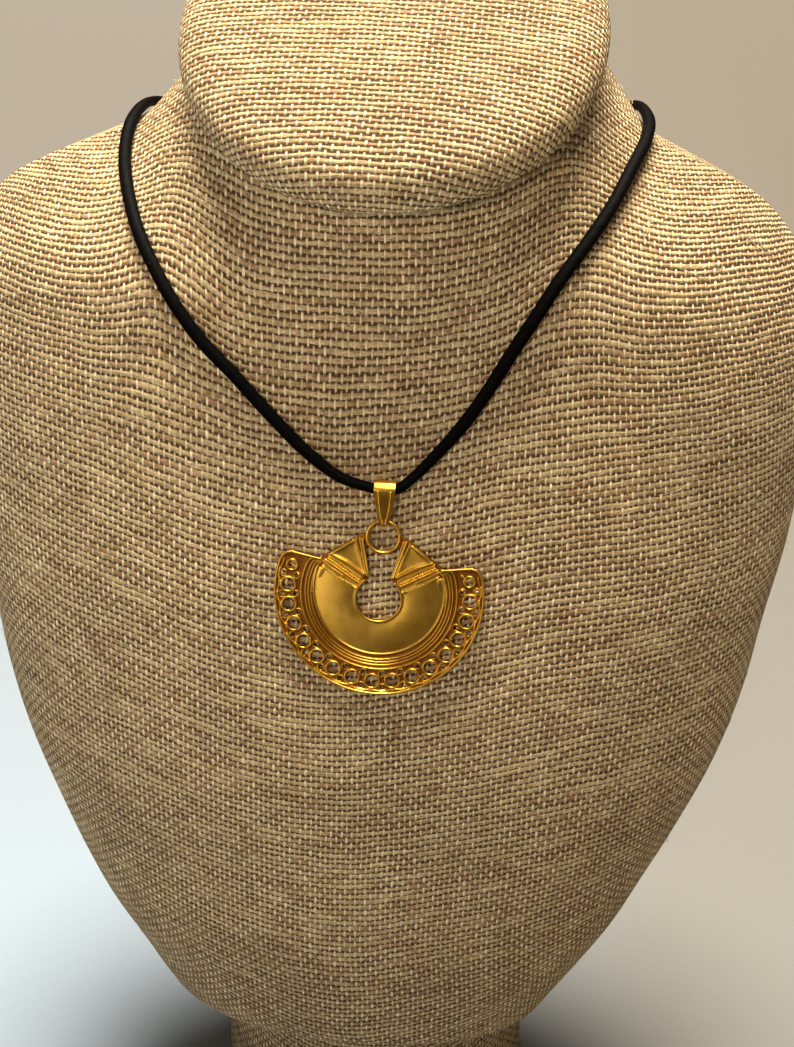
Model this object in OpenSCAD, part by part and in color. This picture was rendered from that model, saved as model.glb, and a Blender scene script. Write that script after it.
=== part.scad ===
// Crescent pendant necklace lying round a small neck bust that stands on Z = 0 and faces -Y.
// Millimetres throughout. The pendant and the bail are each drawn flat, x right, y up, z to the viewer.

/* [Pendant plate] */
// Radius of the backing plate of the crescent
plate_r = 24.7; // [22:0.1:26]
// Thickness of the backing plate
plate_t = 0.8; // [0.6:0.1:0.9]
// How far the highest wires stand in front of the backing plate
relief = 0.5; // [0.45:0.05:0.6]
// Thickness of the smooth inner plate that is laid on the backing plate
face_t = 0.2; // [0.1:0.05:0.3]
// Radius of the smooth inner plate
face_r = 15.4; // [15:0.1:15.6]
// Height of the smooth plate's centre above the crescent's centre
face_y = 0.8; // [0.4:0.1:1]
// Radius of the wire along the outer edge
rim_r = 24.4; // [24.3:0.05:24.45]
// Radius of the scalloped ridge just inside the rim
scallop_r = 23.8; // [23.7:0.05:23.85]
// Thickness of the rim wire
rim_wire = 0.86; // [0.8:0.02:0.88]
// Thickness of the fine wires
fine_wire = 0.44; // [0.3:0.02:0.5]

/* [Openwork] */
// Number of open rings in the band
ring_count = 17; // [9:2:17]
// Angle from one open ring to the next
ring_step = 13; // [12.5:0.5:13]
// Radius of the circle that the open rings stand on
ring_circle_r = 21.4; // [21.2:0.1:21.5]
// Diameter of each open ring's hole
ring_hole = 2.9; // [2.4:0.1:3]
// Diameter of the holes in the two end rings
end_hole = 2; // [1.6:0.1:2.4]
// Radius of the inner circle of small holes
inner_dot_r = 19.6; // [19.5:0.1:19.7]
// Radius of the outer circle of small holes
outer_dot_r = 22.9; // [22.8:0.1:23]
// Diameter of the small holes
dot_hole = 1.2; // [0.8:0.1:1.3]

/* [Pendant centre] */
// Radius of the round hole
eye_r = 5.35; // [5:0.05:5.4]
// Height of the round hole's centre
eye_y = -1.05; // [-1.5:0.05:-1]
// Half width of the slot where it meets the hole
slot_low = 2.2; // [2:0.1:2.4]
// Half width of the slot at its top
slot_high = 4; // [3.9:0.05:4.1]
// Height of the slot's top
slot_top = 13.8; // [13.6:0.1:14]
// Radius of the stepped band's outermost ridge
band_r = 18.3; // [18:0.1:18.5]
// Radii of the fine ridges of the stepped band
band_ridges = [15.9, 16.6, 17.3];
// Radius of the top ring, to the middle of its wire
top_ring_r = 3.8; // [3.6:0.1:3.8]
// Thickness of the top ring's wire
top_ring_wire = 1; // [0.8:0.1:1]
// Height of the top ring's centre
top_ring_y = 14; // [13.9:0.1:14.2]

/* [Bail] */
// Width of the bail over the cord
bail_w = 5; // [4:0.1:6]
// Width of the bail at its lower loop
bail_low_w = 2.2; // [2:0.1:2.6]
// Outer radius of the fold over the cord
fold_r = 2.05; // [2:0.05:2.1]
// Outer radius of the lower loop
loop_r = 1.3; // [1.2:0.05:1.35]
// Thickness of the bail's strip
strip_t = 0.42; // [0.35:0.01:0.45]
// Diameter of the beads along the bail's edges
bead_d = 0.5; // [0.4:0.05:0.6]
// Number of beads along each edge
bead_count = 15; // [8:1:18]

/* [Cord] */
// Diameter of the cord
cord_d = 2.4; // [1.6:0.1:2.4]
// Width of the flattened cord where it lies on the chest and the shoulders
cord_w = 3.1; // [2.4:0.1:3.2]
// Length of the clasp
clasp_l = 12; // [8:1:16]
// Diameter of the clasp
clasp_d = 4; // [3:0.1:4.2]

/* [Neck cap] */
// Slope of the cap from front to back
cap_tilt = 28; // [20:1:32]
// Half width of the cap
cap_w = 49.5; // [48:0.5:52]
// Half depth of the cap, along its slope
cap_d = 58; // [56:0.5:60]

/* [Hidden] */
$fn = 48;

// where the pendant's centre, the cord inside the bail and the middle of the cap's underside are
PENDANT_AT = [6.3, -49.5, 188.5];
CORD_AT = [7, -42.6, 213];
CAP_AT = [3, 15.2, 300.8];
// the pendant leans with the chest and has turned a little to the right
pendant_lean = 16.5;
pendant_roll = 2.5;

back_z = -relief - plate_t;
plate_z = -relief;
ring_z = plate_z;
top_wire_y = top_ring_y + top_ring_r;

// the top ring's wire in the world, which is the pendant's hinge
hinge_y = PENDANT_AT[1] + top_wire_y * cos(pendant_roll) * sin(pendant_lean) - ring_z * cos(pendant_lean);
hinge_z = PENDANT_AT[2] + top_wire_y * cos(pendant_roll) * cos(pendant_lean) + ring_z * sin(pendant_lean);
bail_lean = atan2(CORD_AT[1] - hinge_y, CORD_AT[2] - hinge_z);
bail_l = norm([CORD_AT[1] - hinge_y, CORD_AT[2] - hinge_z]);

// straight wire from point p to point q of the plate, with its middle at height z
module wire(p, q, d, z = plate_z)
  translate([p[0], p[1], z])
    rotate([0, 90, atan2(q[1] - p[1], q[0] - p[0])])
      cylinder(h = norm(q - p), d = d);

// round wire of radius r from angle a, spanning s degrees
module arc_wire(r, a, s, d, z = plate_z)
  translate([0, 0, z])
    rotate([0, 0, a])
      rotate_extrude(angle = s, $fn = 96)
        translate([r, 0])
          circle(d = d, $fn = 20);

// the crescent and its shoulders, right half: tip, shoulder, slot side
HALF = [[0, -26], [26, -26], [26, 4], [24.2, 6.2], [22.8, 7.8], [21.2, 8.6], [14.2, 7.5], [12.4, 9],
  [7.2, 12.7], [5.3, 13.9], [4.3, 14.2], [3, 12], [0, 5]];

module outline()
  intersection() {
    circle(r = plate_r, $fn = 120);
    union() {
      polygon(HALF);
      mirror([1, 0]) polygon(HALF);
    }
  }

// right hand wires, each as start, end and thickness: top edge, inner band, panel edges, cuff
EDGE_WIRES = [
  [[23.1, 7], [22.2, 7.9], 0.7],
  [[22.2, 7.9], [20.9, 8.3], 0.7],
  [[20.9, 8.3], [14, 7.2], 0.7],
  [[2.5, 4.4], [4.9, 13.5], 0.8],
  [[3.4, 4.8], [6.3, 12.9], 0.7],
  [[7.2, 12.3], [12.3, 8.8], 0.8],
  [[4.3, 5.2], [12.3, 8.8], 0.84],
  [[4.4, 4.5], [13, 8.3], 0.56],
  [[4.6, 3.8], [13.5, 7.8], 0.6],
  [[4.9, 3], [14, 7.2], 0.5],
  [[5.3, 1.4], [13.6, 5.5], 0.36]];

module half_wires()
  for (w = EDGE_WIRES) wire(w[0], w[1], w[2]);

// the fine ridges of the band turn in to the cuff at their tops
module band()
  for (r = concat(band_ridges, band_r)) {
    arc_wire(r, -202, 224, fine_wire);
    for (m = [0, 1])
      mirror([m, 0])
        wire([r * cos(22) + 0.1, r * sin(22)], [14.1, r * sin(22) + 0.3], fine_wire - 0.02);
  }

function ring_angle(i) = -90 + (i - (ring_count - 1) / 2) * ring_step;
function is_end(i) = i == 0 || i == ring_count - 1;
function polar(r, a) = [r * cos(a), r * sin(a)];

module openwork_rings()
  for (i = [0 : ring_count - 1])
    translate(polar(ring_circle_r, ring_angle(i)))
      arc_wire(ring_hole / 2 + 0.3, 0, 360, fine_wire);

module openwork_holes() {
  for (i = [0 : ring_count - 1])
    translate(polar(ring_circle_r, ring_angle(i)))
      circle(d = is_end(i) ? end_hole : ring_hole);
  for (i = [0 : ring_count - 2], r = [inner_dot_r, outer_dot_r])
    translate(polar(r, ring_angle(i) + ring_step / 2))
      circle(d = dot_hole);
}

module slot()
  polygon([[-slot_low, eye_y], [slot_low, eye_y], [slot_high, slot_top], [4, 16], [-4, 16],
    [-slot_high, slot_top]]);

module pendant_flat() {
  difference() {
    union() {
      translate([0, 0, back_z])
        linear_extrude(plate_t)
          difference() {
            outline();
            openwork_holes();
          }
      translate([0, face_y, plate_z - 0.1])
        linear_extrude(face_t + 0.1)
          intersection() {
            circle(r = face_r, $fn = 96);
            polygon([[-16, -17], [16, -17], [16, 7], [13.6, 5.2], [5, 0.8], [-5, 0.8], [-13.6, 5.2], [-16, 7]]);
          }
      band();
      half_wires();
      mirror([1, 0]) half_wires();
    }
    translate([0, 0, back_z - 1])
      linear_extrude(4) {
        translate([0, eye_y]) circle(r = eye_r, $fn = 72);
        slot();
      }
  }
  openwork_rings();
  arc_wire(rim_r, -199, 218, rim_wire);
  arc_wire(scallop_r, -199, 218, fine_wire);
  translate([0, eye_y]) arc_wire(eye_r + 0.15, -247, 314, fine_wire + 0.1, plate_z + 0.1);
  translate([0, top_ring_y]) arc_wire(top_ring_r, 0, 360, top_ring_wire, ring_z);
}

module pendant()
  color("gold")
    translate(PENDANT_AT)
      rotate([90 - pendant_lean, 0, 0])
        rotate([0, 0, -pendant_roll])
          pendant_flat();

// two circles, one straight under the other, and the straight sides between them
module drop(r1, r2, l) {
  t = asin((r1 - r2) / l);
  n = [cos(t), -sin(t)];
  circle(r = r1);
  translate([0, -l]) circle(r = r2);
  polygon([r1 * n, [0, -l] + r2 * n, [-r2 * n[0], -l + r2 * n[1]], [-r1 * n[0], r1 * n[1]]]);
}

// middle of bead i on the front leaf, right edge
function bead(i) = let(
    k = i / (bead_count - 1),
    t = asin((fold_r - loop_r) / bail_l),
    y = -0.6 - k * (bail_l - 0.9))
  [(bail_w / 2 - 0.45) * (1 - k) + 0.2 * k, y, fold_r / cos(t) + (y * tan(t))];

module bail_flat() {
  intersection() {
    rotate([0, -90, 0])
      linear_extrude(bail_w + 1, center = true)
        difference() {
          drop(fold_r, loop_r, bail_l);
          drop(fold_r - strip_t, loop_r - strip_t, bail_l);
        }
    linear_extrude(8, center = true)
      polygon([[-bail_w / 2, 3], [bail_w / 2, 3], [bail_w / 2, -0.4], [bail_low_w / 2, -bail_l],
        [bail_low_w / 2, -bail_l - 3], [-bail_low_w / 2, -bail_l - 3], [-bail_low_w / 2, -bail_l],
        [-bail_w / 2, -0.4]]);
  }
  for (i = [0 : bead_count - 1], s = [-1, 1])
    translate([s * bead(i)[0], bead(i)[1], bead(i)[2]])
      sphere(d = bead_d, $fn = 16);
}

module bail()
  color("goldenrod")
    translate(CORD_AT)
      rotate([90 - bail_lean, 0, 0])
        bail_flat();

// where the middle of the clasp is, behind the neck
CLASP_AT = [3, 72.2, 271];
// the cord's route from the clasp round the left side, the chest and the right side back to the clasp
ROUTE = [CLASP_AT - [clasp_l / 2, 0, 0], [-16, 70.8, 271], [-28.5, 67.6, 271.8], [-40, 61.9, 272.8],
  [-50, 53.9, 274.8], [-57, 45.4, 277.3], [-60.4, 36, 279.9], [-61.5, 26.5, 280.6], [-62.1, 17, 278.6],
  [-61.2, 7, 274.2], [-58.2, -4, 269.2], [-53.5, -15, 262.8], [-48.5, -22, 256.5], [-43, -27, 249.5],
  [-36.5, -30.2, 242], [-28.5, -33.2, 235], [-20.5, -36.2, 227.5], [-12, -39, 220], [-4, -41, 214.8],
  [3.5, -42.5, 213.1], [7, -42.6, 213], [10, -42.5, 213.2], [13.2, -41, 215.4], [17.2, -39.2, 219.3],
  [24, -36.1, 227], [29.5, -33.1, 235], [34, -30.5, 242.5], [39, -27.7, 250.5], [44, -23.5, 258],
  [49.8, -16.5, 264.6], [55, -8.2, 270.5], [59.7, 3.4, 276.4], [63.1, 14, 280], [64.3, 24, 282.1],
  [62.9, 33.5, 283.1], [60.3, 43.3, 281], [55.2, 52.3, 277.3], [46.6, 60.6, 274.1], [35, 66.8, 272],
  [22.5, 70.6, 271], CLASP_AT + [clasp_l / 2, 0, 0]];
// rings between one route point and the next
STEPS = 2;
CORD_SIDES = 8;
// the bust curves about this line along X [y, z], and the flattened cord lies flat on it
CORE = [20, 235];
// the cord is round in the bail up to this far beside it, and behind this depth
ROUND_TO = 6;
ROUND_FROM = 36;
// length over which it goes from round to flat
FLATTENS = 11;

// point at share t of the way from b to c, on the smooth curve through a, b, c and d
function smooth(a, b, c, d, t) =
  b + (c - a) * t / 2 + (2 * a - 5 * b + 4 * c - d) * t * t / 2 + (3 * b - a - 3 * c + d) * t * t * t / 2;
function at(list, i) = list[max(0, min(len(list) - 1, i))];
function curve(list, n) = [for (k = [0 : n * (len(list) - 1)]) let(i = floor(k / n))
  smooth(at(list, i - 1), at(list, i), at(list, i + 1), at(list, i + 2), k / n - i)];
function unit(v) = v / norm(v);

// one ring of the cord round point i, its first corner turned off the bust; the two ends stand square to X,
// flat on the clasp
function tube_ring(path, i, n) = let(
    p = path[i],
    t = i % (len(path) - 1) == 0 ? [-1, 0, 0] : unit(at(path, i + 1) - at(path, i - 1)),
    side = unit(cross(p - [p[0], CORE[0], CORE[1]], t)),
    up = cross(t, side),
    beside = (abs(p[0] - CORD_AT[0]) - ROUND_TO) / FLATTENS,
    before = (ROUND_FROM - p[1]) / FLATTENS,
    flat = max(0, min(1, beside, before)),
    w = cord_d / 2 + flat * (cord_w - cord_d) / 2)
  [for (k = [0 : n - 1]) let(a = 360 * k / n) p + cord_d / 2 * cos(a) * up + w * sin(a) * side];

// faces of a closed skin over rows of n points each
function skin(rows, n) = concat(
  [[for (i = [n - 1 : -1 : 0]) i]],
  [for (k = [0 : rows - 2], i = [0 : n - 1]) let(j = (i + 1) % n)
    each [[k * n + i, k * n + j, (k + 1) * n + j], [k * n + i, (k + 1) * n + j, (k + 1) * n + i]]],
  [[for (i = [0 : n - 1]) (rows - 1) * n + i]]);

module cord() {
  path = curve(ROUTE, STEPS);
  color("black")
    polyhedron([for (i = [0 : len(path) - 1]) each tube_ring(path, i, CORD_SIDES)],
      skin(len(path), CORD_SIDES), convexity = 8);
}

module clasp()
  color("goldenrod")
    translate(CLASP_AT - [clasp_l / 2, 0, 0])
      rotate([0, 90, 0])
        cylinder(h = clasp_l, d = clasp_d);

// height of the cap's underside above the point y
function cap_z(y) = CAP_AT[2] + (y - CAP_AT[1]) * tan(cap_tilt);

// the cap's edge from its crown down to its underside, each row as height and inset
CAP_ROWS = [[14.4, 32], [13.6, 20], [12.6, 12], [11.5, 7], [10, 3.8], [8, 1.5], [5.5, 0.2], [3, 0], [1, 0.9],
  [0, 2.5]];

module neck_cap()
  color("wheat")
    translate(CAP_AT)
      rotate([cap_tilt, 0, 0])
        polyhedron([for (r = CAP_ROWS, i = [0 : 63]) let(a = 360 * i / 64)
            [(cap_w - r[1]) * sin(a), -(cap_d - r[1]) * cos(a), r[0]]],
          skin(len(CAP_ROWS), 64), convexity = 4);

// rows of the bust from the neck down: middle, half width and height at the side, y of the side, then y and
// height at the front, then y and height at the back, and how far the row sags behind the shoulders
BUST_ROWS = [
  [3, 47.5, cap_z(20), 20, -29.5, cap_z(-29.5), 64, cap_z(64), 0],
  [3, 48.5, 296, 20, -29.5, 271.5, 66, 316, 0],
  [3, 52.5, 288, 20, -29.5, 266.5, 69, 302, 10],
  [2.5, 58.5, 282, 20, -29.6, 263, 70, 290, 22],
  [2, 63.5, 278, 20, -29.8, 259.5, 70, 280, 28],
  [1.5, 72, 275, 20, -30, 256, 70, 272, 28],
  [1, 84.5, 270, 20, -30.2, 251.5, 70, 264, 26],
  [0, 95, 264, 19, -30.8, 246.5, 70, 257, 22],
  [0, 103, 255, 18, -31.6, 241, 69, 249, 16],
  [0, 108, 244, 17, -33.2, 234, 67, 240, 10],
  [0, 111, 231, 15.5, -36, 225, 65, 229, 5],
  [0, 112, 216, 14, -39.6, 213, 63, 215, 0],
  [0, 111.5, 200, 12, -44, 199, 61, 200, 0],
  [0, 110, 180, 9, -50.2, 180, 58, 180, 0],
  [0, 106.5, 160, 5, -55.6, 160, 55, 160, 0],
  [0, 103.5, 140, 1, -60.2, 140, 52, 140, 0],
  [0, 98, 122, -5, -63.7, 122, 48, 122, 0],
  [0, 89.5, 105, -13, -66.3, 105, 45, 105, 0],
  [0, 81, 92, -22, -68.2, 92, 42, 92, 0],
  [0.5, 73, 82, -31, -69.3, 82, 40, 82, 0],
  [1, 64, 72, -38, -69.9, 72, 38, 72, 0],
  [1, 56.5, 64, -44, -70, 64, 37, 64, 0],
  [1.5, 51, 58.5, -48, -69.5, 58.5, 36, 58.5, 0],
  [1.5, 46, 55, -50, -67, 55, 35, 55, 0]];
// share of the way from the side to the back where that sag starts
SAG_FROM = 0.25;
BUST_SIDES = 64;

// one row as an oval, rounder in front and squarer behind; k is the share of the way from the side to the back
function bust_ring(r, n) = [for (i = [0 : n - 1]) let(
    s = sin(360 * i / n),
    c = cos(360 * i / n),
    k = pow(abs(c), 0.8),
    x = r[0] + r[1] * sign(s) * pow(abs(s), c > 0 ? 1 : 0.8),
    y = c > 0 ? r[3] - (r[3] - r[4]) * c : r[3] + (r[6] - r[3]) * k,
    z = c > 0 ? r[2] - (r[2] - r[5]) * c :
      r[2] + (r[7] - r[2]) * k - r[8] * pow(max(0, k - SAG_FROM) / (1 - SAG_FROM), 1.5))
  [x, y, z]];

module bust()
  color("tan")
    polyhedron([for (r = BUST_ROWS) each bust_ring(r, BUST_SIDES)], skin(len(BUST_ROWS), BUST_SIDES),
      convexity = 6);

// rows of the foot from the top down: height, half width, half depth
FOOT_ROWS = [[55, 41, 42], [34, 42, 43], [24, 43, 44], [14, 44.5, 46], [6, 46, 49], [2, 46.5, 50.5], [0, 45.5, 49.5]];
FOOT_AT = [3, -12];

module pedestal()
  color("tan")
    polyhedron([for (r = FOOT_ROWS, i = [0 : 63]) let(a = 360 * i / 64)
        [FOOT_AT[0] + r[1] * sin(a), FOOT_AT[1] - r[2] * cos(a), r[0]]],
      skin(len(FOOT_ROWS), 64), convexity = 4);

pendant();
bail();
cord();
clasp();
neck_cap();
bust();
pedestal();
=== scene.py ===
import random
from math import asin, atan2, cos, dist, hypot, pi, radians, sin, sqrt, tan

import bpy
import numpy as np
from mathutils import Matrix, Vector


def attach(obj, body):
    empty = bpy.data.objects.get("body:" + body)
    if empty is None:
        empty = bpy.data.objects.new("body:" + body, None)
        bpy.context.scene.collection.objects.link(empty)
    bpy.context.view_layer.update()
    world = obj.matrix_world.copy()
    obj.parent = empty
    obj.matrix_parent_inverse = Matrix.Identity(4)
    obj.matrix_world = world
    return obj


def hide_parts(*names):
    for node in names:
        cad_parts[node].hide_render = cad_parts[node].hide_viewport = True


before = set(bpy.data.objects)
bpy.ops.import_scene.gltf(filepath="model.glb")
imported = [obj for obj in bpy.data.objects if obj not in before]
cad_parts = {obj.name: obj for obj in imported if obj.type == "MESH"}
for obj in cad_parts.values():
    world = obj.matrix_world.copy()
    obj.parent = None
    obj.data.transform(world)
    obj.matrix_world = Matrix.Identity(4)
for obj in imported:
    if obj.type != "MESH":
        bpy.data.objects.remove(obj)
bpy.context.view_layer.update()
MM = 0.001
random.seed(7)

# camera

# solved from the photograph's outline: the camera's place in millimetres and its angles in degrees
CAMERA_AT = (31.48, -317.76, 363.42)
LOOKS_DOWN = 30
LOOKS_LEFT = 4.5
TIPPED = 0.9
# the photograph's height and the length of its lens, both in its pixels
PHOTO_HIGH = 1047
LENS_LONG = 1376
SENSOR_HIGH = 24

scene = bpy.context.scene
scene.view_settings.view_transform = "Standard"

ahead = radians(LOOKS_DOWN)
turn = radians(LOOKS_LEFT)
tip = radians(TIPPED)
look = Vector((-sin(turn) * cos(ahead), cos(turn) * cos(ahead), -sin(ahead)))
right = Vector((cos(turn), sin(turn), 0))
above = right.cross(look)
right, above = (right * cos(tip) + above * sin(tip),
                above * cos(tip) - right * sin(tip))
camera_data = bpy.data.cameras.new("camera")
camera_data.sensor_fit = "VERTICAL"
camera_data.sensor_height = SENSOR_HIGH
camera_data.lens = SENSOR_HIGH * LENS_LONG / PHOTO_HIGH
camera_data.clip_start = 0.01
camera_data.clip_end = 20
camera = bpy.data.objects.new("camera", camera_data)
scene.collection.objects.link(camera)
camera.matrix_world = Matrix((
    (right.x, above.x, -look.x, CAMERA_AT[0] * MM),
    (right.y, above.y, -look.y, CAMERA_AT[1] * MM),
    (right.z, above.z, -look.z, CAMERA_AT[2] * MM),
    (0, 0, 0, 1)))
scene.camera = camera

# tools

# points of one piece closer than this are merged, in the units that the piece is drawn in
MERGE = 0.0005


def only(*pieces):
    """Selects these pieces and nothing else; the first is the active one."""
    if bpy.context.object and bpy.context.object.mode != "OBJECT":
        bpy.ops.object.mode_set(mode="OBJECT")
    bpy.ops.object.select_all(action="DESELECT")
    for piece in pieces:
        piece.select_set(True)
    bpy.context.view_layer.objects.active = pieces[0]
    return pieces[0]


def made(name):
    """The piece that the last primitive made, under its own name."""
    piece = bpy.context.object
    piece.name = name
    piece.data.name = name
    return piece


def join(name, pieces):
    only(*pieces)
    if len(pieces) > 1:
        bpy.ops.object.join()
    return made(name)


def settle(piece):
    """Puts the piece's place into its mesh."""
    only(piece)
    bpy.ops.object.transform_apply(location=True, rotation=True, scale=True)
    return piece


def finish_with(piece, kind, **values):
    """Adds one modifier and applies it."""
    only(piece)
    modifier = piece.modifiers.new(kind.lower(), kind)
    for key, value in values.items():
        setattr(modifier, key, value)
    bpy.ops.object.modifier_apply(modifier=modifier.name)
    return piece


def outward(piece):
    """Merges the points that lie on each other and turns all the faces outwards."""
    only(piece)
    bpy.ops.object.mode_set(mode="EDIT")
    bpy.ops.mesh.select_all(action="SELECT")
    bpy.ops.mesh.remove_doubles(threshold=MERGE)
    bpy.ops.mesh.normals_make_consistent(inside=False)
    bpy.ops.object.mode_set(mode="OBJECT")
    return piece


def smooth_all(piece):
    only(piece)
    bpy.ops.object.shade_smooth()
    return piece


def skin(name, points, faces, uvs=None):
    """A mesh from its points and faces, with a uv for each corner when given."""
    mesh = bpy.data.meshes.new(name)
    mesh.from_pydata([tuple(map(float, p)) for p in points], [], faces)
    if uvs is not None:
        layer = mesh.uv_layers.new(name="cloth")
        flat = np.array([uv for face in uvs for uv in face], dtype=np.float32)
        layer.data.foreach_set("uv", flat.ravel())
    piece = bpy.data.objects.new(name, mesh)
    scene.collection.objects.link(piece)
    return piece


def paint(piece, material):
    """Gives the whole piece this one material."""
    piece.data.materials.clear()
    piece.data.materials.append(material)


def points_of(piece):
    flat = np.empty(len(piece.data.vertices) * 3)
    piece.data.vertices.foreach_get("co", flat)
    return flat.reshape(-1, 3)


def mark_recess(piece, depth):
    """Notes a value from 0 to 1 at each point that makes the gold darker, browner and rougher: painted shade
    deep in the pendant's recesses, and a darker field between the bail's beads.
    """
    mark = piece.data.attributes.new("recess", "FLOAT", "POINT")
    mark.data.foreach_set("value", depth.astype(np.float32))


def catmull(points, steps):
    """Smooth curve through the points, each stretch in this many steps, its ends clamped."""
    p = np.array(points, float)
    out = []
    for i in range(len(p) - 1):
        a, b, c, d = p[max(i - 1, 0)], p[i], p[i + 1], p[min(i + 2, len(p) - 1)]
        for k in range(steps):
            t = k / steps
            out.append(b + (c - a) * t / 2 + (2 * a - 5 * b + 4 * c - d) * t * t / 2
                       + (3 * b - a - 3 * c + d) * t ** 3 / 2)
    out.append(p[-1])
    return np.array(out)


# materials

class Recipe:
    """A material and short ways to add its nodes. Most noises lie between 0.3 and 0.7."""

    def __init__(self, name):
        self.material = bpy.data.materials.new(name)
        self.material.use_nodes = True
        self.tree = self.material.node_tree
        self.shader = self.tree.nodes["Principled BSDF"]

    def put(self, kind, *inputs, **settings):
        node = self.tree.nodes.new("ShaderNode" + kind)
        for key, value in settings.items():
            setattr(node, key, value)
        for socket, value in zip(node.inputs, inputs):
            self.feed(socket, value)
        return node

    def feed(self, socket, value):
        if isinstance(value, bpy.types.NodeSocket):
            self.tree.links.new(value, socket)
        elif value is not None:
            socket.default_value = value

    def calc(self, what, a, b=0.0):
        return self.put("Math", a, b, operation=what).outputs[0]

    def plus(self, a, b):
        return self.calc("ADD", a, b)

    def minus(self, a, b):
        return self.calc("SUBTRACT", a, b)

    def times(self, a, b):
        return self.calc("MULTIPLY", a, b)

    def vector(self, x, y, z=0.0):
        return self.put("CombineXYZ", x, y, z).outputs[0]

    def split(self, vector):
        return self.put("SeparateXYZ", vector).outputs

    def noise(self, where, scale, detail, output="Fac"):
        return self.put("TexNoise", where, None, scale, detail).outputs[output]

    def three(self, where, scale, detail):
        """Three unlike noises at once, each about 0 to 1."""
        return self.split(self.noise(where, scale, detail, "Color"))

    def between(self, value, low, high, out_low=0.0, out_high=1.0):
        return self.put("MapRange", value, low, high, out_low, out_high).outputs[0]

    def dome(self, side):
        """The round top of a thread: 1 on its middle line and 0 at its sides."""
        return self.calc("SQRT", self.calc("MAXIMUM", self.minus(1.0, self.times(side, side)), 0.0))

    def blend(self, share, a, b):
        node = self.put("Mix", share, data_type="RGBA")
        self.feed(node.inputs[6], a)
        self.feed(node.inputs[7], b)
        return node.outputs[2]

    def dim(self, colour, amount):
        """The colour times a number."""
        node = self.put("VectorMath", colour, operation="SCALE")
        self.feed(node.inputs["Scale"], amount)
        return node.outputs[0]

    def bump(self, height, distance, strength):
        node = self.put("Bump", strength, distance)
        self.feed(node.inputs["Height"], height)
        return node.outputs["Normal"]

    def place(self):
        return self.put("TexCoord").outputs["Object"]

    def dress(self, **sockets):
        for name, value in sockets.items():
            self.feed(self.shader.inputs[name.replace("_", " ")], value)
        return self.material


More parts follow.
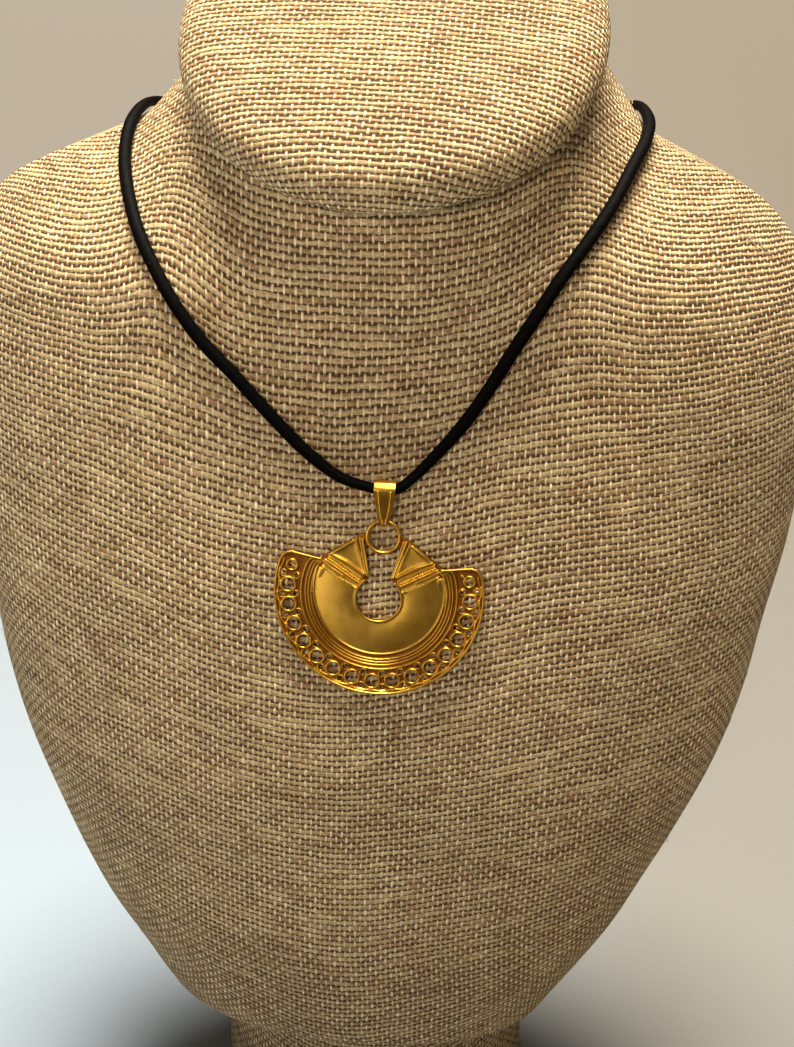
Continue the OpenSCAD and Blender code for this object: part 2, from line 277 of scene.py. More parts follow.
def burlap_weave(name):
    """Plain weave of thick brown weft and thin pale warp, with painted shade between the threads. Its uv map
    counts warp ends and weft rows.
    """
    r = Recipe(name)
    uv = r.put("UVMap", uv_map="cloth").outputs[0]
    flat = r.split(uv)
    drift = r.three(uv, 0.05, 2.0)
    u = r.plus(flat[0], r.between(drift[0], 0.3, 0.7, -0.24, 0.24))
    v = r.plus(flat[1], r.between(drift[1], 0.3, 0.7, -0.3, 0.3))
    end = r.calc("ROUND", u)
    row = r.calc("ROUND", v)
    weft = r.three(r.vector(r.times(u, 0.16), r.times(row, 5.17), 2.0), 1.0, 2.0)
    warp = r.three(r.vector(r.times(end, 4.31), r.times(v, 0.2), 9.0), 1.0, 2.0)
    # how thick each thread is there, and how far it strays from its line
    weft_half = r.between(weft[1], 0.3, 0.7, 0.26, 0.45)
    warp_half = r.between(warp[1], 0.3, 0.7, 0.17, 0.27)
    weft_off = r.plus(r.minus(v, row), r.between(weft[0], 0.3, 0.7, -0.13, 0.13))
    warp_off = r.plus(r.minus(u, end), r.between(warp[0], 0.3, 0.7, -0.09, 0.09))
    weft_round = r.dome(r.calc("DIVIDE", weft_off, weft_half))
    warp_round = r.dome(r.calc("DIVIDE", warp_off, warp_half))
    # over and under
    warp_wave = r.times(r.calc("COSINE", r.times(v, pi)), r.calc("COSINE", r.times(end, pi)))
    weft_wave = r.times(r.calc("COSINE", r.times(u, pi)), r.calc("COSINE", r.times(row, pi)))
    warp_high = r.plus(r.times(warp_wave, 0.66), r.times(warp_round, 0.55))
    weft_high = r.plus(r.times(weft_wave, -0.16), r.times(weft_round, 0.75))
    warp_high = r.minus(warp_high, r.calc("LESS_THAN", warp_round, 0.02))
    weft_high = r.minus(weft_high, r.calc("LESS_THAN", weft_round, 0.02))
    on_top = r.calc("GREATER_THAN", warp_high, weft_high)
    high = r.calc("MAXIMUM", r.calc("MAXIMUM", warp_high, weft_high), -0.5)
    # fibres run along whichever thread is on top, coarse and fine
    along = r.vector(r.times(u, 1.1), r.times(v, 3.6), 4.0)
    upward = r.vector(r.times(u, 9.0), r.times(v, 1.2), 6.0)
    fibre_place = r.put("Mix", on_top, data_type="VECTOR")
    r.feed(fibre_place.inputs[4], along)
    r.feed(fibre_place.inputs[5], upward)
    fibres = r.noise(fibre_place.outputs[1], 1.0, 3.0)
    # the weft is olive to mauve brown with paler slubs, the warp pale straw
    hue = r.noise(r.vector(r.times(u, 0.5), r.times(v, 1.4), 7.0), 1.0, 2.0)
    weft_deep = r.blend(r.between(hue, 0.38, 0.62), (0.4, 0.215, 0.125, 1), (0.4, 0.265, 0.1, 1))
    weft_colour = r.blend(r.between(weft[2], 0.36, 0.66), weft_deep, (0.66, 0.48, 0.25, 1))
    warp_colour = r.blend(r.between(warp[2], 0.36, 0.64), (0.66, 0.5, 0.27, 1), (0.95, 0.79, 0.5, 1))
    warp_dip_shade = r.between(warp_wave, -0.2, 0.5, 0.5, 1.25)
    # painted shade and highlight: the warp is darker where it dips under and lighter where it lies on top
    thread = r.blend(on_top, weft_colour, r.dim(warp_colour, warp_dip_shade))
    thread = r.dim(thread, r.between(fibres, 0.3, 0.7, 0.5, 1.45))
    # painted shade: the gaps between the threads and the threads' low edges take a dark brown
    colour = r.blend(r.between(high, -0.1, 0.45), (0.1, 0.042, 0.012, 1), thread)
    # worn patches, and here and there a dark fleck of bark
    patches = r.noise(r.place(), 38.0, 3.0)
    flecks = r.noise(r.place(), 330.0, 1.0)
    colour = r.dim(colour, r.between(patches, 0.3, 0.7, 0.88, 1.1))
    colour = r.dim(colour, r.between(flecks, 0.78, 0.82, 1.0, 0.4))
    height = r.plus(high, r.times(fibres, 0.3))
    return r.dress(
        Base_Color=colour,
        Roughness=r.between(fibres, 0.2, 0.8, 0.7, 0.95),
        Specular_IOR_Level=0.2,
        Sheen_Weight=0.04,
        Sheen_Roughness=0.5,
        Normal=r.bump(height, 0.0009, 0.85))


def satin_gold(name, recessed=True):
    """Matt plated gold with a fine cast grain, darker, browner and rougher where the recess value is marked,
    which is painted shade in the pendant's recesses.
    """
    r = Recipe(name)
    place = r.place()
    grain = r.noise(place, 5200.0, 2.0)
    cloud = r.noise(place, 320.0, 3.0)
    colour = r.blend(r.between(cloud, 0.35, 0.65), (0.9, 0.5, 0.06, 1), (0.97, 0.58, 0.09, 1))
    rough = r.between(cloud, 0.3, 0.7, 0.27, 0.32)
    if recessed:
        # the recess value darkens and browns the gold: painted shade in the pendant's recesses, a darker
        # field on the bail
        low = r.put("Attribute", attribute_name="recess").outputs["Fac"]
        colour = r.blend(low, colour, (0.3, 0.11, 0.014, 1))
        rough = r.plus(rough, r.times(low, 0.14))
    return r.dress(
        Base_Color=colour,
        Metallic=1.0,
        Roughness=rough,
        Normal=r.bump(grain, 0.00001, 0.55))


def black_cord(name):
    """Waxed black cord with a faint twist, and a little pale lint."""
    r = Recipe(name)
    uv = r.put("UVMap", uv_map="cloth").outputs[0]
    flat = r.split(uv)
    twist = r.calc("SINE", r.plus(r.times(flat[0], 2 * pi * 3), r.times(flat[1], 2 * pi / 3.4)))
    fine = r.vector(r.times(flat[0], 26.0), r.times(flat[1], 0.9))
    loose = r.vector(r.times(flat[0], 9.0), r.times(flat[1], 1.7), 3.0)
    strands = r.noise(fine, 1.0, 3.0)
    lint = r.noise(loose, 1.0, 4.0)
    speck = r.between(lint, 0.66, 0.76)
    black = (0.0008, 0.0006, 0.0006, 1)
    worn = (0.003, 0.0022, 0.002, 1)
    colour = r.blend(r.between(strands, 0.3, 0.7), black, worn)
    colour = r.blend(r.times(speck, 0.35), colour, (0.11, 0.085, 0.06, 1))
    height = r.plus(r.times(twist, 0.35), strands)
    return r.dress(
        Base_Color=colour,
        Roughness=r.between(strands, 0.2, 0.8, 0.5, 0.72),
        Specular_IOR_Level=0.04,
        Normal=r.bump(height, 0.00012, 0.5))


def plain_paper(name):
    """Matt floor, lighter and cooler near the bust as a painted pool of light, most of all at the left, and
    darker and warmer far behind.
    """
    r = Recipe(name)
    place = r.place()
    fine = r.noise(place, 900.0, 3.0)
    side, back = r.split(place)[:2]
    # painted light: near the bust the floor is lighter and cooler, most of all at the left
    lit_near = r.blend(r.between(side, -0.1, 0.1), (0.255, 0.31, 0.38, 1), (0.17, 0.166, 0.155, 1))
    far = r.blend(r.between(side, -0.3, 0.3), (0.143, 0.127, 0.11, 1), (0.13, 0.11, 0.084, 1))
    colour = r.blend(r.between(back, 0.0, 0.7), lit_near, far)
    colour = r.dim(colour, r.between(fine, 0.3, 0.7, 0.97, 1.03))
    return r.dress(Base_Color=colour, Roughness=0.75, Normal=r.bump(fine, 0.0001, 0.1))


def stray_straw(name):
    """Single fibres, from brown to pale straw."""
    r = Recipe(name)
    fine = r.noise(r.place(), 900.0, 2.0)
    colour = r.blend(r.between(fine, 0.35, 0.65), (0.34, 0.25, 0.13, 1), (0.72, 0.6, 0.38, 1))
    return r.dress(Base_Color=colour, Roughness=r.between(fine, 0.3, 0.7, 0.6, 0.8),
                   Sheen_Weight=0.2, Normal=r.bump(fine, 0.00004, 0.4))


burlap = burlap_weave("burlap")
gold = satin_gold("satin_gold")
clasp_gold = satin_gold("clasp_gold", recessed=False)
cord_black = black_cord("black_cord")
straw = stray_straw("loose_straw")

# cord

CLASP_AT = (3, 72.2, 271)
CLASP_L = 12
# the cord's route in millimetres, from the clasp round the left side, the chest and the right side
ROUTE = [
    (CLASP_AT[0] - CLASP_L / 2, CLASP_AT[1], CLASP_AT[2]), (-16, 70.8, 271), (-28.5, 67.6, 271.8),
    (-40, 61.9, 272.8), (-50, 53.9, 274.8), (-57, 45.4, 277.3), (-60.4, 36, 279.9), (-61.5, 26.5, 280.6),
    (-62.1, 17, 278.6), (-61.2, 7, 274.2), (-58.2, -4, 269.2), (-53.5, -15, 262.8), (-48.5, -22, 256.5),
    (-43, -27, 249.5), (-36.5, -30.2, 242), (-28.5, -33.2, 235), (-20.5, -36.2, 227.5), (-12, -39, 220),
    (-4, -41, 214.8), (3.5, -42.5, 213.1), (7, -42.6, 213), (10, -42.5, 213.2), (13.2, -41, 215.4),
    (17.2, -39.2, 219.3), (24, -36.1, 227), (29.5, -33.1, 235), (34, -30.5, 242.5), (39, -27.7, 250.5),
    (44, -23.5, 258), (49.8, -16.5, 264.6), (55, -8.2, 270.5), (59.7, 3.4, 276.4), (63.1, 14, 280),
    (64.3, 24, 282.1), (62.9, 33.5, 283.1), (60.3, 43.3, 281), (55.2, 52.3, 277.3), (46.6, 60.6, 274.1),
    (35, 66.8, 272), (22.5, 70.6, 271), (CLASP_AT[0] + CLASP_L / 2, CLASP_AT[1], CLASP_AT[2])]
CORD_AT = (7, -42.6, 213)
CORD_D = 2.4
CORD_W = 3.1
CORD_SIDES = 16
CORD_STEPS = 7
# the bust curves about this line along X (y, z), and the flattened cord lies flat on it
CORE = (20, 235)
# the cord is round up to this far beside the bail and behind this depth, and flattens over this length
ROUND_TO = 6
ROUND_FROM = 36
FLATTENS = 11


def sweep_cord(name, path, sides):
    """The flattened cord along the path. Its uv holds the share round it and the millimetres along it."""
    rows, along, gone = [], [], 0.0
    angles = np.arange(sides)[:, None] * 2 * pi / sides
    for i, point in enumerate(path):
        if i % (len(path) - 1):
            t = path[i + 1] - path[i - 1]
            t = t / np.linalg.norm(t)
        else:
            # the ends lie flat on the clasp
            t = np.array((-1.0, 0, 0))
        side = np.cross((0, point[1] - CORE[0], point[2] - CORE[1]), t)
        side = side / np.linalg.norm(side)
        up = np.cross(t, side)
        beside = (abs(point[0] - CORD_AT[0]) - ROUND_TO) / FLATTENS
        before = (ROUND_FROM - point[1]) / FLATTENS
        half = (CORD_D + (CORD_W - CORD_D) * max(0.0, min(1.0, beside, before))) / 2
        rows.append(point + CORD_D / 2 * np.cos(angles) * up + half * np.sin(angles) * side)
        if i:
            gone += float(np.linalg.norm(point - path[i - 1]))
        along.append(gone)
    faces, uvs = [], []
    for i in range(len(rows) - 1):
        for k in range(sides):
            j = (k + 1) % sides
            faces.append((i * sides + k, i * sides + j, (i + 1) * sides + j, (i + 1) * sides + k))
            a, b = k / sides, (k + 1) / sides
            uvs.append(((a, along[i]), (b, along[i]), (b, along[i + 1]), (a, along[i + 1])))
    last = (len(rows) - 1) * sides
    faces += [tuple(range(sides - 1, -1, -1)), tuple(last + k for k in range(sides))]
    uvs += [tuple((0.5, 0.0) for _ in range(sides)), tuple((0.5, along[-1]) for _ in range(sides))]
    piece = skin(name, np.concatenate(rows) * MM, faces, uvs)
    smooth_all(piece)
    return piece, along[-1]


cord_path = catmull(ROUTE, CORD_STEPS)
necklace_cord, cord_length = sweep_cord("necklace_cord", cord_path, CORD_SIDES)
paint(necklace_cord, cord_black)
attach(necklace_cord, "stand")
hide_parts("cord")

# clasp

CLASP_R = 1.9
CLASP_EDGE = 0.35
# two turned rings near each end, by their places along the clasp
RINGS_AT = (-5.2, -4.4, 4.4, 5.2)
RINGS_R = 1.82
RINGS_THICK = 0.52

bpy.ops.mesh.primitive_cylinder_add(vertices=40, radius=CLASP_R * MM, depth=CLASP_L * MM,
                                    location=Vector(CLASP_AT) * MM, rotation=(0, pi / 2, 0))
barrel = settle(made("barrel_clasp"))
turned_rings = []
for x in RINGS_AT:
    bpy.ops.mesh.primitive_torus_add(major_radius=RINGS_R * MM, minor_radius=RINGS_THICK / 2 * MM,
                                     major_segments=40, minor_segments=10, rotation=(0, pi / 2, 0),
                                     location=(Vector(CLASP_AT) + Vector((x, 0, 0))) * MM)
    turned_rings.append(settle(made("clasp_ring")))
finish_with(barrel, "BEVEL", width=CLASP_EDGE * MM, segments=3, limit_method="ANGLE")
barrel = join("barrel_clasp", [barrel] + turned_rings)
bpy.ops.object.shade_smooth_by_angle(angle=radians(40))
paint(barrel, clasp_gold)
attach(barrel, "stand")
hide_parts("clasp")

# burlap bust

CAP_AT = (3, 15.2, 300.8)
CAP_TILT = radians(28)
CAP_W = 49.5
CAP_D = 58


def cap_z(y):
    return CAP_AT[2] + (y - CAP_AT[1]) * tan(CAP_TILT)


# rows from the neck down: middle x, half width, z side, y side, y front, z front, y back, z back, sag behind
BUST_ROWS = [
    (3, 47.5, cap_z(20), 20, -29.5, cap_z(-29.5), 64, cap_z(64), 0),
    (3, 48.5, 296, 20, -29.5, 271.5, 66, 316, 0), (3, 52.5, 288, 20, -29.5, 266.5, 69, 302, 10),
    (2.5, 58.5, 282, 20, -29.6, 263, 70, 290, 22), (2, 63.5, 278, 20, -29.8, 259.5, 70, 280, 28),
    (1.5, 72, 275, 20, -30, 256, 70, 272, 28), (1, 84.5, 270, 20, -30.2, 251.5, 70, 264, 26),
    (0, 95, 264, 19, -30.8, 246.5, 70, 257, 22), (0, 103, 255, 18, -31.6, 241, 69, 249, 16),
    (0, 108, 244, 17, -33.2, 234, 67, 240, 10), (0, 111, 231, 15.5, -36, 225, 65, 229, 5),
    (0, 112, 216, 14, -39.6, 213, 63, 215, 0), (0, 111.5, 200, 12, -44, 199, 61, 200, 0),
    (0, 110, 180, 9, -50.2, 180, 58, 180, 0), (0, 106.5, 160, 5, -55.6, 160, 55, 160, 0),
    (0, 103.5, 140, 1, -60.2, 140, 52, 140, 0), (0, 98, 122, -5, -63.7, 122, 48, 122, 0),
    (0, 89.5, 105, -13, -66.3, 105, 45, 105, 0), (0, 81, 92, -22, -68.2, 92, 42, 92, 0),
    (0.5, 73, 82, -31, -69.3, 82, 40, 82, 0), (1, 64, 72, -38, -69.9, 72, 38, 72, 0),
    (1, 56.5, 64, -44, -70, 64, 37, 64, 0), (1.5, 51, 58.5, -48, -69.5, 58.5, 36, 58.5, 0),
    (1.5, 46, 55, -50, -67, 55, 35, 55, 0)]
# the first of the level rows, where the front panel begins, and the row at the shoulders' edge
LEVEL_ROW = 13
SHOULDER_ROW = 9
WARP_PITCH = 1.3
WEFT_PITCH = 1.66


def bust_ring(row):
    """The points of one row: an ellipse in front and a squarer curve behind."""
    middle, half, side_z, side_y, front_y, front_z, back_y, back_z, hollow = row
    a = np.arange(SIDES) * 2 * pi / SIDES
    s, c = np.sin(a), np.cos(a)
    front = c > 0
    k = np.abs(c) ** 0.8
    x = middle + half * np.sign(s) * np.abs(s) ** np.where(front, 1, 0.8)
    y = np.where(front, side_y - (side_y - front_y) * c, side_y + (back_y - side_y) * k)
    z = np.where(front, side_z - (side_z - front_z) * c,
                 side_z + (back_z - side_z) * k - hollow * np.maximum(0, (k - 0.25) / 0.75) ** 1.5)
    return np.stack([x, y, z], 1)


def cloth_form(name, rings, uv, inner_uv=None, inner=None):
    """A closed form over rings of points; the uv of each ring runs from the back seam round the front.

    The faces that inner marks take the second uv, as a panel of its own."""
    n = rings.shape[1]
    faces, uvs = [], []
    for k in range(len(rings) - 1):
        for i in range(n):
            j = (i + 1) % n
            faces.append((k * n + i, (k + 1) * n + i, (k + 1) * n + j, k * n + j))
            p = inner_uv if inner is not None and inner[k, i] else uv
            uvs.append((p[k, i], p[k + 1, i], p[k + 1, i + 1], p[k, i + 1]))
    last = (len(rings) - 1) * n
    faces.append(tuple(range(n)))
    uvs.append(tuple(uv[0, i] for i in range(n)))
    faces.append(tuple(last + i for i in range(n - 1, -1, -1)))
    uvs.append(tuple(uv[-1, i] for i in range(n - 1, -1, -1)))
    piece = skin(name, rings.reshape(-1, 3) * MM, faces, uvs)
    paint(piece, burlap)
    return smooth_all(piece)


def ease(share):
    """Smooth start and end between 0 and 1."""
    share = np.clip(share, 0, 1)
    return share * share * (3 - 2 * share)


def rising(x, xs, ys):
    """Value at x of a line through points in any order."""
    order = np.argsort(xs)
    return np.interp(x, xs[order], ys[order])


SIDES = 240
STEPS = 6
QUARTER = SIDES // 4
HALF = SIDES // 2
FRONT = np.arange(QUARTER, 3 * QUARTER + 1)
# the front panel of the cloth goes over the shoulders this many columns behind the sides
PANEL_BACK = 28
rings = np.array([bust_ring(row) for row in BUST_ROWS])
fine = catmull(rings.reshape(len(rings), -1), STEPS).reshape(-1, SIDES, 3)
# start the rings at the back so that the seam lies there
fine = fine[:, (np.arange(SIDES) + HALF) % SIDES]
level = LEVEL_ROW * STEPS
shoulder = SHOULDER_ROW * STEPS
ring_numbers = np.arange(len(fine))[:, None]
columns = np.arange(SIDES)
beside_middle = np.abs(fine[..., 0])

# back panel: true length down each column, true length round each ring from the front
height = np.zeros(fine.shape[:2])
height[1:] = -np.cumsum(np.linalg.norm(np.diff(fine, axis=0), axis=2), axis=0)
height -= height[level]
closed = np.concatenate([fine, fine[:, :1]], axis=1)
around = np.concatenate([np.zeros((len(fine), 1)),
                         np.cumsum(np.linalg.norm(np.diff(closed, axis=1), axis=2), axis=1)], axis=1)
around -= around[:, HALF:HALF + 1]

# front panel: length up and over the shoulders along sections of equal x
over = height.copy()
for k in range(level - 1, -1, -1):
    here, below = fine[k, FRONT], fine[k + 1, FRONT]
    x = np.clip(here[:, 0], below[:, 0].min(), below[:, 0].max())
    under = np.stack([x] + [rising(x, below[:, 0], below[:, n]) for n in (1, 2)], 1)
    over[k, FRONT] = rising(x, below[:, 0], over[k + 1, FRONT]) + np.linalg.norm(here - under, axis=1)
for side, behind in ((QUARTER, range(QUARTER - PANEL_BACK, QUARTER)),
                     (3 * QUARTER, range(3 * QUARTER + 1, 3 * QUARTER + PANEL_BACK + 1))):
    ridge = fine[:shoulder + 1, side]
    ridge_x = np.abs(ridge[:, 0])
    for i in behind:
        here = fine[:shoulder + 1, i]
        x = np.abs(here[:, 0])
        over[:shoulder + 1, i] = rising(x, ridge_x, over[:shoulder + 1, side]) + np.hypot(
            here[:, 1] - rising(x, ridge_x, ridge[:, 1]), here[:, 2] - rising(x, ridge_x, ridge[:, 2]))

# above this height the warp closes up at the shoulders and opens in the middle, by these shares for each
# millimetre
CLOSES_ABOVE = 10
CLOSES_LEFT = 0.0008
CLOSES_RIGHT = 0.0025
CLOSES_BESIDE = 75
OPENS = 0.0005
plain = rising(fine[..., 0], fine[level, FRONT, 0], around[level, FRONT])
draped = ease((shoulder - ring_numbers) / (3 * STEPS))
climb = np.clip(over - CLOSES_ABOVE, 0, None)
sides_close = np.where(fine[..., 0] > 0, CLOSES_RIGHT, CLOSES_LEFT) * ease(beside_middle / CLOSES_BESIDE)
closing = 1 + climb * (sides_close - OPENS)
across = closing * ((1 - draped) * around[:, :SIDES] + draped * plain)
# the back panel takes its sides' spacing, and the sides meet with the same spacing behind
left, right_side = closing[:, QUARTER:QUARTER + 1], closing[:, 3 * QUARTER:3 * QUARTER + 1]
evenly = (left + right_side) / 2
beside = evenly + (np.where(columns < HALF, left, right_side) - evenly) * ease(
    np.minimum(columns, SIDES - columns) / QUARTER)
around[:, :SIDES] *= np.where(ring_numbers < level, beside, 1)
around[:, SIDES] = -around[:, 0]

# the weft sags in the middle of the chest, at this x and so wide to its left and right
SAG_X = -8
SAG_LEFT = 36
SAG_RIGHT = 28
SAG_HEIGHTS = (-110, -70, -20, 25, 110)
SAG_DEPTHS = (5, 6, 11, 11, 0)
# and rises in a wave beside the neck
WAVE = 8
WAVE_X = 47
WAVE_WIDE = 15
WAVE_ABOVE = 32
WAVE_GROWS = 60


def sag(x, up):
    depth = np.interp(up, SAG_HEIGHTS, SAG_DEPTHS)
    return depth * np.exp(-((x - SAG_X) / np.where(x < SAG_X, SAG_LEFT, SAG_RIGHT)) ** 2 / 2)


over = (over + sag(fine[..., 0], over)
        - WAVE * np.exp(-((beside_middle - WAVE_X) / WAVE_WIDE) ** 2)
        * ease((over - WAVE_ABOVE) / WAVE_GROWS))
sags = (ring_numbers >= level) & (columns >= QUARTER) & (columns <= 3 * QUARTER)
height = height + np.where(sags, sag(fine[level, :, 0], height), 0)

# the cloth is stretched wider at the sides than in the middle of the chest
REACH_STEP = 2.0
REACH = np.arange(0, 420, REACH_STEP)
STRETCH = np.interp(REACH, (0, 30, 90, 130, 170), (1, 1.02, 1.2, 1.2, 1.08))
ENDS = np.concatenate([[0], np.cumsum(REACH_STEP / (WARP_PITCH * STRETCH))[:-1]])


def counts(u, v):
    """Warp ends and weft rows of these lengths, with the first column again at the end."""
    if u.shape[1] == SIDES:
        u = np.concatenate([u, u[:, :1]], axis=1)
    v = np.concatenate([v, v[:, :1]], axis=1)
    return np.stack([np.sign(u) * np.interp(np.abs(u), REACH, ENDS), v / WEFT_PITCH], 2)


is_front = (columns >= QUARTER) & (columns < 3 * QUARTER)
is_over = (columns >= QUARTER - PANEL_BACK) & (columns < 3 * QUARTER + PANEL_BACK)
in_panel = np.where(ring_numbers < shoulder, is_over, is_front & (ring_numbers < level))
bust_cloth = cloth_form("bust_burlap", fine, counts(around, height), counts(across, over), in_panel)
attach(bust_cloth, "stand")
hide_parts("bust")

# neck cap

# rows from the top's middle outwards and down: height over the underside, and how far inside the outline
CAP_ROWS = [(14.7, 40), (14.4, 32), (13.6, 20), (12.6, 12), (11.5, 7), (10, 3.8), (8, 1.5), (5.5, 0.2),
            (3, 0), (1, 0.9), (0, 2.5)]
# a row before the first only steadies the curve there
CAP_LEAD = (14.75, 44)
CAP_STEPS = 5
# the weave lies a little turned on the cap
CAP_SKEW = radians(2)
CAP_WARP_PITCH = 1.4
CAP_WEFT_PITCH = 1.5
cap_fine = catmull([CAP_LEAD] + CAP_ROWS, CAP_STEPS)[CAP_STEPS:]
cap_angle = np.arange(SIDES) * 2 * pi / SIDES
cap_rings, cap_uv, gone = [], [], 0.0
cap_tilt = np.array(Matrix.Rotation(CAP_TILT, 3, "X"))
for k, (h, inset) in enumerate(cap_fine):
    if k:
        gone += dist(cap_fine[k], cap_fine[k - 1])
    ring = np.stack([(CAP_W - inset) * np.sin(cap_angle), -(CAP_D - inset) * np.cos(cap_angle),
                     np.full(SIDES, h)], 1)
    cap_rings.append(ring @ cap_tilt.T + np.array(CAP_AT))
    # the cloth is laid out flat from the middle of the top
    out = gone - cap_fine[0][1]
    wide, deep = (CAP_W + out) * np.sin(cap_angle), -(CAP_D + out) * np.cos(cap_angle)
    row = np.stack([(wide * cos(CAP_SKEW) - deep * sin(CAP_SKEW)) / CAP_WARP_PITCH,
                    (deep * cos(CAP_SKEW) + wide * sin(CAP_SKEW)) / CAP_WEFT_PITCH], 1)
    cap_uv.append(np.concatenate([row, row[:1]]))
cap_cloth = cloth_form("cap_burlap", np.array(cap_rings), np.array(cap_uv))
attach(cap_cloth, "stand")
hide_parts("neck_cap")

# foot

FOOT_AT = (3, -12)
# rows from the top down: height, half width and half depth
FOOT_ROWS = [(55, 41, 42), (34, 42, 43), (24, 43, 44), (14, 44.5, 46), (6, 46, 49), (2, 46.5, 50.5),
             (0, 45.5, 49.5)]
FOOT_STEPS = 5
# the radius at which its warp has its true spacing
FOOT_MEAN_R = 43
foot_fine = catmull(FOOT_ROWS, FOOT_STEPS)
foot_rings, foot_uv, gone = [], [], 0.0
foot_angle = np.arange(SIDES + 1) * 2 * pi / SIDES - pi
for k, (h, half_w, half_d) in enumerate(foot_fine):
    if k:
        gone += dist(foot_fine[k], foot_fine[k - 1])
    ring = np.stack([FOOT_AT[0] + half_w * np.sin(foot_angle), FOOT_AT[1] - half_d * np.cos(foot_angle),
                     np.full(SIDES + 1, h)], 1)
    foot_rings.append(ring[:-1])
    foot_uv.append([(FOOT_MEAN_R * float(a) / WARP_PITCH, -gone / WEFT_PITCH) for a in foot_angle])
foot_cloth = cloth_form("foot_burlap", np.array(foot_rings), np.array(foot_uv))
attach(foot_cloth, "stand")
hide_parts("pedestal")

# loose fibres of the burlap

FIBRE_COUNT = 420
FIBRE_TRIES = 6000
FIBRE_R = 0.08
FIBRE_STRETCHES = 5
# most fibres follow the weft
WEFT_SHARE = 0.75
# a fibre keeps this far from the cord, except behind this depth
CORD_CLEAR = 8
CORD_CLEAR_BACK = 30
# and none starts behind the pendant: least and most x and z
CHEST_X = (-26, 38)
CHEST_Z = (155, 216)


def fibre_line(k, i):
    """One bowed fibre that leaves the cloth at this ring and column, or nothing near the necklace."""
    start = fine[k, i]
    if random.random() < WEFT_SHARE:
        heading = fine[k, (i + 2) % SIDES] - start
    else:
        heading = fine[k + 1, i] - start
    heading = heading / np.linalg.norm(heading)
    outwards = np.cross(fine[k, (i + 1) % SIDES] - fine[k, i - 1], fine[k - 1, i] - fine[k + 1, i])
    outwards = outwards / np.linalg.norm(outwards)
    if np.dot(outwards, start - np.array([0, 0, start[2]])) < 0:
        outwards = -outwards
    sideways = np.cross(outwards, heading)
    length = random.choice((random.uniform(2, 6), random.uniform(2, 6), random.uniform(6, 12)))
    bow = random.uniform(-1.2, 1.2)
    lift = random.uniform(0.05, 0.7)
    lean = random.uniform(-0.6, 0.6)
    if start[1] < CORD_CLEAR_BACK and np.min(np.linalg.norm(cord_path - start, axis=1)) < CORD_CLEAR:
        return None
    if CHEST_X[0] < start[0] < CHEST_X[1] and CHEST_Z[0] < start[2] < CHEST_Z[1] and start[1] < 0:
        return None
    line = []
    for t in np.linspace(0, 1, FIBRE_STRETCHES + 1):
        line.append(start + heading * length * (t - 0.5)
                    + sideways * (bow * sin(pi * t) + lean * length * (t - 0.5))
                    + outwards * (0.12 + lift * sin(pi * t) ** 2))
    return np.array(line)


def fine_threads(name, lines, radius):
    """Four sided threads along the lines, thinner towards their ends."""
    points, faces = [], []
    for line in lines:
        base = len(points)
        for i, p in enumerate(line):
            t = line[min(i + 1, len(line) - 1)] - line[max(i - 1, 0)]
            t = t / np.linalg.norm(t)
            # hardly a thread runs along this direction
            side = np.cross(t, (0.31, 0.2, 0.93))
            side = side / np.linalg.norm(side)
            up = np.cross(t, side)
            thick = radius * (0.6 + 0.4 * sin(pi * (i + 0.5) / len(line)))
            for q in range(4):
                a = q * pi / 2
                points.append(p + thick * (cos(a) * up + sin(a) * side))
        for i in range(len(line) - 1):
            for q in range(4):
                w = (q + 1) % 4
                here, beyond = base + i * 4, base + (i + 1) * 4
                faces.append((here + q, here + w, beyond + w, beyond + q))
        last = base + (len(line) - 1) * 4
        faces.append((base + 3, base + 2, base + 1, base))
        faces.append((last, last + 1, last + 2, last + 3))
    return smooth_all(skin(name, np.array(points) * MM, faces))


fibres = []
for _ in range(FIBRE_TRIES):
    if len(fibres) < FIBRE_COUNT:
        found = fibre_line(random.randrange(3, len(fine) - 4), random.randrange(0, SIDES))
        if found is not None:
            fibres.append(found)
loose_fibres = fine_threads("loose_fibres", fibres, FIBRE_R)
paint(loose_fibres, straw)
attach(loose_fibres, "stand")

# pendant, drawn flat in millimetres

PENDANT_AT = (6.3, -49.5, 188.5)
LEAN = 16.5
ROLL = 2.5
PLATE_R = 24.7
RIM_R = 24.42
RIM_THICK = 0.62
SCALLOP_R = 23.72
SCALLOP_DEEP = 0.17
BAND_RIDGES = (15.9, 16.6, 17.3)
BAND_R = 18.3
# the smooth plate and the eye, with the heights of their middles
FACE_R = 15.4
FACE_Y = 0.8
EYE_R = 5.35
EYE_Y = -1.05
EYE_GAP = 0.05
# open rings, so many degrees apart, the first and the last smaller
RING_COUNT = 17
RING_STEP = 13
RING_CIRCLE = 21.4
RING_HOLE = 2.9
END_HOLE = 2.0
RING_WIRE = 0.54
# small rings between them
DOT_CIRCLES = (19.6, 22.9)
DOT_HOLE = 1.2
DOT_WIRE = 0.3
TOP_RING_R = 3.8
TOP_RING_Y = 14
TOP_RING_WIRE = 0.96
# heights of the wires, the plate between the open rings, the raised plates' underside and the back
PLATE_Z = -0.5
LOW_Z = -0.74
RAISED_FROM = -0.9
BACK_Z = -1.3
# the smooth plate is highest at this share of its width, and falls so far to the eye and its edge
CREST = 0.35
CREST_Z = -0.24
CREST_TO_EYE = 0.2
CREST_TO_EDGE = 0.3
# points along each edge of a raised plate
GRID = 24
